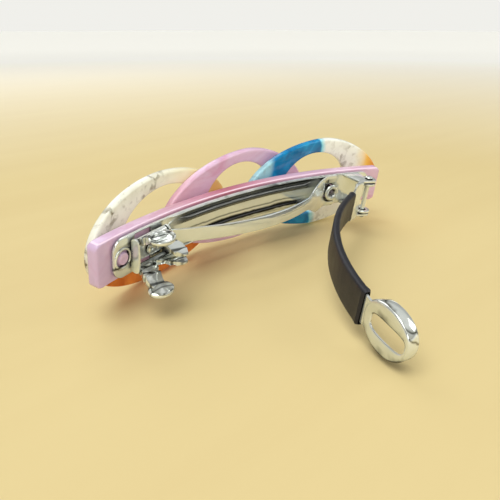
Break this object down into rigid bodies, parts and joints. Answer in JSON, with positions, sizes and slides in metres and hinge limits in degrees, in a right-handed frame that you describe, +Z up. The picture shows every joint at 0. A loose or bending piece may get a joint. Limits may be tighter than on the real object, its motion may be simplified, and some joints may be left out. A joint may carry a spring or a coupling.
{
  "type": "hair barrette",
  "caption": "French barrette with a chain of oval acetate links on a curved bar, shown open from its spring-clip side.",
  "frame": {"origin": "centre of the footprint of the open clip, on the table it stands on", "axes": "+X along the clip towards its hinge end, +Y from the lever's side towards the decorated side, +Z up"},
  "size_m": [0.0958, 0.0662, 0.0256],
  "materials": {
    "acetate_orange": "polished translucent acetate, milky at one end and amber-orange at the other",
    "acetate_rose": "polished translucent rose acetate",
    "acetate_blue": "polished translucent acetate, blue at one end, then clear, then amber",
    "acetate_pink": "polished pearly pink acetate",
    "polished_steel": "bright nickel-plated spring steel",
    "sleeve_black": "satin black tubing"
  },
  "bodies": {
    "root": {"link_left": "acetate_orange", "link_middle": "acetate_rose", "link_right": "acetate_blue", "backing_bar": "acetate_pink", "base_plate": "polished_steel", "base_eyelet": "polished_steel", "catch_bracket": "polished_steel", "catch_rivet": "polished_steel", "hinge_pin": "polished_steel", "tension_bow": "polished_steel"},
    "lever": {"lever_arm": "polished_steel", "lever_sleeve": "sleeve_black"},
    "finger_upper": {"catch_finger_upper": "polished_steel"},
    "finger_lower": {"catch_finger_lower": "polished_steel"}
  },
  "joints": [
    {"name": "lever_hinge", "type": "hinge", "parent": "root", "child": "lever", "pos_m": [0.02777, 0.01031, 0.01142], "axis": [0, -0.1495, 0.9888], "range_deg": [-41, 0], "stiffness_Nm_per_rad": 0.1, "springref_deg": 11.46, "deforming": ["tension_bow"]},
    {"name": "finger_upper_hinge", "type": "hinge", "parent": "root", "child": "finger_upper", "pos_m": [-0.03504, 0.01572, 0.01527], "axis": [0.9679, 0.2486, 0.0376], "range_deg": [0, 4], "stiffness_Nm_per_rad": 0.002},
    {"name": "finger_lower_hinge", "type": "hinge", "parent": "root", "child": "finger_lower", "pos_m": [-0.03504, 0.01661, 0.00934], "axis": [0.9679, 0.2486, 0.0376], "range_deg": [-4, 0], "stiffness_Nm_per_rad": 0.002}
  ],
  "couplings": [
    {"joint": "finger_lower_hinge", "follows": "finger_upper_hinge", "ratio": -1}
  ]
}
